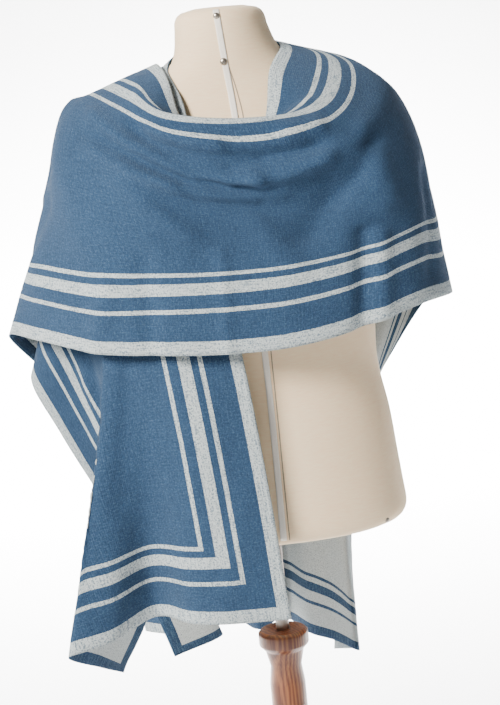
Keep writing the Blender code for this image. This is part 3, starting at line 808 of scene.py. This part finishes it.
@dataclass
class DressForm:
    """Limbless padded form: torso, front tape, seam strip of thread and painted shadow beside it, and pins.
    """

    segments: int = 96
    neck_lean: float = 0.65
    neck_foot: float = 74.0
    neck_top: float = 81.0
    strip_rows: int = 150
    pin_head: float = 0.0042
    pin_lift: float = 0.0008

    # Levels between which the torso's rows have their own widest gap, in centimetres.
    ROW_MARKS = (17, 66, 78)
    ROW_GAPS = (0.4, 1.1, 0.6, 0.35)
    TAPE = Strip("form_tape", ((81.6, -1), (80, -0.9), (75.1, -0.5), (68.1, 0.1), (36.2, 1), (15.2, 1.1)),
                 0.008, 0.0006, 0.0005)
    # Dark strip beside the tape: the seam's thread, with painted shadow where the seam's groove lies.
    SEAM_SHADE = Strip("form_seam_shade", ((75, -0.2), (71.6, 0.6), (68.1, 1.1), (55, 1.55), (36.2, 1.75), (15.2, 1.85)),
                 0.0014, 0.0001, 0.0004)
    # x and height in centimetres, and the share of a full head.
    PINS = ((-1, 80.8, 1), (-0.65, 75.2, 1.1), (14.6, 15.4, 0.8))

    def level(self, height: float) -> Array:
        """Half width, front, back and squareness at a height above the column's top, in centimetres."""
        return spline(FORM_SECTIONS[None, :, 0], FORM_SECTIONS[None, :, 1:], np.array([height]))[0]

    def lean(self, height: float) -> float:
        """How far the neck leans to the form's right at a height, in centimetres."""
        return self.neck_lean * float(smooth((height - self.neck_foot) / (self.neck_top - self.neck_foot)))

    def point(self, height: float, angle: float) -> Vector:
        """Find a point of the torso's surface.

        Args:
            height: Its height above the column's top, in centimetres.
            angle: Its angle round the pole, from the form's left.

        Returns:
            The point, in metres above the floor.
        """
        half_width, front, back, squareness = self.level(height)
        power = 2 / squareness
        x = half_width * math.copysign(abs(math.cos(angle)) ** power, math.cos(angle)) - self.lean(height)
        depth = back if math.sin(angle) > 0 else front
        y = depth * math.copysign(abs(math.sin(angle)) ** power, math.sin(angle))
        return Vector((x, y, height + COLUMN_HEIGHT / CM)) * CM

    def front(self, x: float, height: float, lift: float) -> Vector:
        """Point in front of the torso, lifted off it by metres, with x and height in centimetres."""
        half_width, depth, _, squareness = self.level(height)
        reach = (1 - abs((x + self.lean(height)) / half_width) ** squareness) ** (1 / squareness)
        return Vector((x, -depth * reach - lift / CM, height + COLUMN_HEIGHT / CM)) * CM

    def torso(self, cover: Material) -> Object:
        """Build the padded torso with its neck, smooth and closed."""
        low, high = FORM_SECTIONS[0, 0], FORM_SECTIONS[-1, 0]
        heights = stops((low, *self.ROW_MARKS, high), self.ROW_GAPS)
        rows = len(heights) - 1
        mesh = grid(self.segments, rows,
                    lambda across, up: self.point(heights[round(up * rows)], across * math.tau))
        bmesh.ops.remove_doubles(mesh, verts=mesh.verts, dist=MERGE_DISTANCE)
        rims = [edge for edge in mesh.edges if edge.is_boundary]
        for level in (min, max):
            end = level(edge.verts[0].co.z for edge in rims)
            rim = [edge for edge in rims if abs(edge.verts[0].co.z - end) < SAME_LEVEL]
            made = bmesh.ops.contextual_create(mesh, geom=rim)
            bmesh.ops.poke(mesh, faces=made["faces"])
        bmesh.ops.recalc_face_normals(mesh, faces=mesh.faces)
        piece = add_piece("form_cover", mesh, [cover])
        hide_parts("form_torso")
        return piece

    def strip(self, strip: Strip, material: Material) -> Object:
        """Lay a narrow strip down the form's front.

        Args:
            strip: Its path and sizes.
            material: Its material.

        Returns:
            The strip.
        """
        top, foot = strip.path[0][0], strip.path[-1][0]
        knots = np.array([[-height for height, _ in strip.path]], float)
        middles = np.array([[(x, 0, 0) for _, x in strip.path]], float)

        def place(across: float, up: float) -> Vector:
            """Point of the strip."""
            height = foot + (top - foot) * up
            middle = spline(knots, middles, np.array([-height]))[0][0]
            return self.front(middle + (across - 0.5) * strip.width / CM, height, strip.lift)

        piece = add_piece(strip.name, grid(4, self.strip_rows, place), [material])
        thicken(piece, strip.wall)
        return piece

    def pins(self, metal: Material) -> Object:
        """Set the round pin heads into the cover."""
        mesh = bmesh.new()
        for x, height, size in self.PINS:
            seat = self.front(x, height, 0)
            outward = Vector((seat.x * 0.6, -0.12, 0)).normalized()
            turn = outward.to_track_quat("Z", "Y").to_matrix().to_4x4()
            seat += outward * self.pin_lift
            head = Matrix.Translation(seat) @ turn @ Matrix.Diagonal((1, 1, 0.6, 1))
            bmesh.ops.create_uvsphere(mesh, u_segments=28, v_segments=16, radius=self.pin_head * size,
                                      matrix=head)
        piece = add_piece("form_pins", mesh, [metal])
        return piece

    def build(self) -> list[Object]:
        """Build the form, and return its pieces with the torso first."""
        cover = Linen().dress("linen_cover")
        tape = Tape().dress("cotton_tape")
        # Dark colours of the seam strip: the seam's thread and painted shadow in its groove.
        seam = Tape(ground=(0.36, 0.29, 0.22), shaded=(0.2, 0.15, 0.11)).dress("seam_shadow")
        pin = Metal((0.42, 0.38, 0.33), (0.62, 0.58, 0.52), 0.32).dress("pin_metal")
        return [self.torso(cover), self.strip(self.TAPE, tape), self.strip(self.SEAM_SHADE, seam), self.pins(pin)]


@dataclass
class Stand:
    """Steel rod, turned column and round base under the form."""

    rod_radius: float = 0.009
    rod_top: float = 0.864
    rod_segments: int = 64
    rod_rounding: float = 0.0006
    socket_depth: float = 0.08
    gap: float = 0.0003
    column_segments: int = 96
    column_rounding: float = 0.0012
    base_radius: float = 0.21
    base_thickness: float = 0.03
    base_segments: int = 128
    base_rounding: float = 0.0015
    base_shoulder: float = 0.008
    base_chamfer: float = 0.0024
    base_foot: float = 0.002

    # Radius and height above the column's top, in metres, from the top down.
    TURNINGS = ((0.0295, 0), (0.0335, -0.004), (0.0335, -0.02), (0.026, -0.028), (0.021, -0.05),
                (0.024, -0.075), (0.024, -0.42), (0.032, -0.435), (0.032, -0.45), (0.025, -0.47),
                (0.034, -0.6), (0.044, -0.65), (0.048, -0.675))

    def rod(self, steel: Material) -> Object:
        """Turn the rod between the form and the column."""
        foot = COLUMN_HEIGHT - self.socket_depth + self.gap
        top = self.rod_top - self.gap
        profile = ((0, top), (self.rod_radius, top), (self.rod_radius, foot), (0, foot))
        piece = add_piece("rod", lathe(profile, self.rod_segments, self.rod_rounding), [steel])
        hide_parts("stand_pole")
        return piece

    def column(self, wood: Material) -> Object:
        """Turn the column with its socket."""
        socket, floor = self.rod_radius + self.gap, COLUMN_HEIGHT - self.socket_depth
        foot = self.base_thickness + self.gap
        profile = [(0, floor), (socket, floor), (socket, COLUMN_HEIGHT)]
        profile += [(radius, COLUMN_HEIGHT + drop) for radius, drop in self.TURNINGS]
        profile += [(self.TURNINGS[-1][0], foot), (0, foot)]
        piece = add_piece("column", lathe(profile, self.column_segments, self.column_rounding), [wood])
        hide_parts("stand_column")
        return piece

    def base(self, wood: Material) -> Object:
        """Turn the round base."""
        rim, top = self.base_radius, self.base_thickness
        shoulder, chamfer, foot = self.base_shoulder, self.base_chamfer, self.base_foot
        profile = ((0, top), (rim - shoulder, top), (rim - chamfer, top - chamfer), (rim, top - shoulder),
                   (rim, foot), (rim - foot, 0), (0, 0))
        piece = add_piece("base", lathe(profile, self.base_segments, self.base_rounding), [wood])
        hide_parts("stand_base")
        return piece

    def build(self) -> list[Object]:
        """Build the stand's pieces."""
        wood = TurnedWood().dress("turned_wood")
        steel = Metal((0.34, 0.3, 0.27), (0.52, 0.47, 0.43), 0.36).dress("rod_steel")
        return [self.rod(steel), self.column(wood), self.base(wood)]


@dataclass
class Ruana:
    """The wrap: one double-faced sheet, laid over the form and thrown over its right shoulder."""

    wall: float = 0.002
    clearance: float = 0.0007
    reach: float = 0.03
    slit_gap: float = 0.08

    # Widest gaps between the mesh's lines, in centimetres: across between these marks, and along.
    ACROSS_MARKS = (0, 5, 10, 14)
    ACROSS_GAPS = (0.5, 0.36, 0.5, 0.6)
    ALONG_GAP = 0.6
    # Small waves: frequency across and along, seed, and height in metres.
    WAVES = ((0.17, 0.1, 3.1, 0.0016), (0.42, 0.24, 8.4, 0.0006))
    BLUE, GREY = (0.021, 0.05, 0.104), (0.54, 0.6, 0.61)
    DEEP_BLUE, BLUE_GREY = (0.058, 0.108, 0.185), (0.13, 0.18, 0.23)

    def drapes(self) -> dict[Panel, Drape]:
        """Make the three panels' surfaces, each joined to its neighbour's slope at the nape line."""
        fall = Rows(RIGHT_FRONT, 0)
        throw = Rows(THROWN_FRONT, 0, FOLD_COLUMN, FOLD_ACROSS)
        rear = Rows(BACK, -Cut.HALF_WIDTH / CM, CENTRE_COLUMN)
        stops_back = rear.knots[0]
        sides = np.sign(stops_back)[:, None]
        ahead = throw.first(np.maximum(stops_back, 0))
        aside = fall.first(np.maximum(-stops_back, 0))
        beyond = np.where(sides > 0, ahead, np.where(sides < 0, aside, (ahead + aside) / 2))
        behind = rear.downs[0]
        return {
            Panel.RIGHT: Drape(fall, -1, behind, rear.first(-fall.knots[0]), RIGHT_CREASES),
            Panel.THROWN: Drape(throw, 1, behind, rear.first(throw.knots[0]), THROWN_CREASES),
            Panel.BACK: Drape(rear, 1, throw.downs[0], beyond, BACK_CREASES),
        }

    def flat_sheet(self) -> tuple[Mesh, dict[Panel, list[FlatPoint]]]:
        """Cut the flat sheet, slit it, and sort its points into panels.

        Returns:
            The mesh, and each panel's points with their flat distances across and down, in centimetres.
        """
        half = stops((*self.ACROSS_MARKS, Cut.HALF_WIDTH / CM), self.ACROSS_GAPS)
        across = [-stop for stop in half[:0:-1]] + half
        length = Cut.HALF_LENGTH / CM
        along = stops((-length, 0, length), (self.ALONG_GAP, self.ALONG_GAP))
        columns, rows = len(across) - 1, len(along) - 1
        mesh = grid(columns, rows, lambda x, y: (across[round(x * columns)], along[round(y * rows)], 0))
        slit = [edge for edge in mesh.edges
                if all(abs(vert.co.x) < 0.001 and vert.co.y > -0.001 for vert in edge.verts)]
        bmesh.ops.split_edges(mesh, edges=slit)
        flat = mesh.loops.layers.uv.new("cut")
        for face in mesh.faces:
            for loop in face.loops:
                loop[flat].uv = (loop.vert.co.x * CM, loop.vert.co.y * CM)
        panels: dict[Panel, list[FlatPoint]] = {panel: [] for panel in Panel}
        for vert in mesh.verts:
            middle = sum(face.calc_center_median().x for face in vert.link_faces)
            if vert.co.y <= 0:
                panels[Panel.BACK].append((vert, vert.co.x, -vert.co.y))
                continue
            held = max(abs(vert.co.x), self.slit_gap * min(vert.co.y, 1))
            panels[Panel.THROWN if middle > 0 else Panel.RIGHT].append((vert, held, vert.co.y))
        bmesh.ops.reverse_faces(mesh, faces=mesh.faces)
        return mesh, panels

    def soften(self, mesh: Mesh, flat: dict[Vert, Vector]) -> None:
        """Give the cloth its small uneven waves.

        Args:
            mesh: The draped mesh.
            flat: Each point's place on the flat cut, in centimetres.
        """
        mesh.normal_update()
        for vert in mesh.verts:
            x, y, _ = flat[vert]
            lift = sum(noise.noise(Vector((x * by_x, y * by_y, seed))) * height
                       for by_x, by_y, seed, height in self.WAVES)
            vert.co += vert.normal * lift

    def rest(self, mesh: Mesh, form: Object) -> None:
        """Lift the cloth clear of the form wherever it would touch it.

        Args:
            mesh: The draped mesh.
            form: The torso.
        """
        tree = BVHTree.FromObject(form, bpy.context.evaluated_depsgraph_get())
        wanted = self.wall / 2 + self.clearance
        for vert in mesh.verts:
            nearest, normal, _, distance = tree.find_nearest(vert.co)
            lift = wanted - (vert.co - nearest).dot(normal)
            if lift > 0 and distance < self.reach:
                vert.co = vert.co + normal * lift

    def build(self, form: Object) -> Object:
        """Drape the wrap over the form.

        Args:
            form: The torso that it rests on.

        Returns:
            The wrap.
        """
        mesh, panels = self.flat_sheet()
        flat = {vert: vert.co.copy() for vert in mesh.verts}
        surfaces = self.drapes()
        for panel, held in panels.items():
            verts, across, down = zip(*held)
            for vert, place in zip(verts, surfaces[panel].points(np.array(across), np.array(down))):
                vert.co = place
        self.soften(mesh, flat)
        self.rest(mesh, form)
        face = Knit(self.BLUE, self.GREY, self.DEEP_BLUE, self.BLUE_GREY)
        reverse = Knit(self.GREY, self.BLUE, self.BLUE_GREY, self.DEEP_BLUE)
        piece = add_piece("ruana_cloth", mesh, [face.dress("knit_face"), reverse.dress("knit_reverse")])
        solid = thicken(piece, self.wall)
        solid.material_offset = solid.material_offset_rim = 1
        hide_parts("back_panel", "front_panel_right", "front_panel_left_chest", "front_panel_left_end")
        return piece


@dataclass(frozen=True)
class Lamp:
    """Soft square light, with its power in watts and its spread in degrees."""

    name: str
    place: Point
    aim: Point
    size: float
    power: float
    colour: Colour
    spread: float = 180.0

    def hang(self) -> None:
        """Put the light into the scene."""
        lamp = bpy.data.lights.new(self.name, "AREA")
        lamp.spread = math.radians(self.spread)
        lamp.size = self.size
        lamp.energy = self.power
        lamp.color = self.colour
        holder = add_object(self.name, lamp)
        holder.location = self.place
        holder.rotation_euler = (Vector(self.aim) - Vector(self.place)).to_track_quat("-Z", "Y").to_euler()


@dataclass
class Studio:
    """Pale floor that curves up behind, soft lights, and the camera at the photo's angle."""

    paper: Paper = Paper()
    paper_half_width: float = 9.0
    paper_length: float = 19.0
    paper_front: float = -7.0
    bend_start: float = 6.0
    bend_radius: float = 2.0
    paper_rows: int = 60
    room_light: float = 0.18
    sensor: float = 36.0
    lens: float = 87.4
    eye: Point = (-0.016, -2.2, 1.465)
    pan: float = -0.2
    tilt: float = 80.5
    roll: float = -5.5

    LAMPS = (
        Lamp("window", (-2.45, -2.45, 3.1), (0, 0, 1.2), 1.2, 425, (1, 0.96, 0.9)),
        Lamp("fill", (2.4, -2.4, 1.6), (0, 0, 1.2), 2.4, 3, (0.97, 0.98, 1)),
        Lamp("top", (0, 5.2, 5.2), (0, 5.3, 0), 5, 3000, (1, 1, 1), 95),
    )

    def backdrop(self) -> Object:
        """Bend the paper from floor to wall."""
        radius = self.bend_radius

        def place(across: float, along: float) -> Point:
            """Point of the paper."""
            run = along * self.paper_length + self.paper_front
            over = run - self.bend_start
            turn = min(max(over / radius, 0), math.pi / 2)
            rise = max(over - radius * math.pi / 2, 0)
            return ((across * 2 - 1) * self.paper_half_width,
                    min(run, self.bend_start) + radius * math.sin(turn),
                    radius * (1 - math.cos(turn)) + rise)

        paper = add_mesh("paper", grid(1, self.paper_rows, place), [self.paper.dress("studio_paper")])
        return paper

    def camera(self) -> None:
        """Set the camera as the photo's outline asks, a little above the chest and with a given roll."""
        lens = bpy.data.cameras.new("camera")
        lens.sensor_fit = "VERTICAL"
        lens.sensor_height = self.sensor
        lens.lens = self.lens
        holder = add_object("camera", lens)
        pan, tilt, roll = (Matrix.Rotation(math.radians(angle), 4, axis)
                           for angle, axis in ((self.pan, "Z"), (self.tilt, "X"), (self.roll, "Z")))
        holder.matrix_world = Matrix.Translation(self.eye) @ pan @ tilt @ roll
        bpy.context.scene.camera = holder

    def build(self) -> None:
        """Set up floor, lights, surroundings and camera."""
        self.backdrop()
        for lamp in self.LAMPS:
            lamp.hang()
        world = bpy.data.worlds.new("room")
        world.use_nodes = True
        background = world.node_tree.nodes["Background"]
        background.inputs["Color"].default_value = (1, 1, 1, 1)
        background.inputs["Strength"].default_value = self.room_light
        bpy.context.scene.world = world
        self.camera()


def main() -> None:
    """Load the solids, then build the form, its stand, the wrap and the studio."""
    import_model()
    torso, *trim = DressForm().build()
    for piece in [torso, *trim, *Stand().build(), Ruana().build(torso)]:
        LOG.info("built %s", piece.name)
    Studio().build()


if __name__ == "__main__":
    logging.basicConfig(level=logging.INFO, format="%(name)s: %(message)s")
    main()
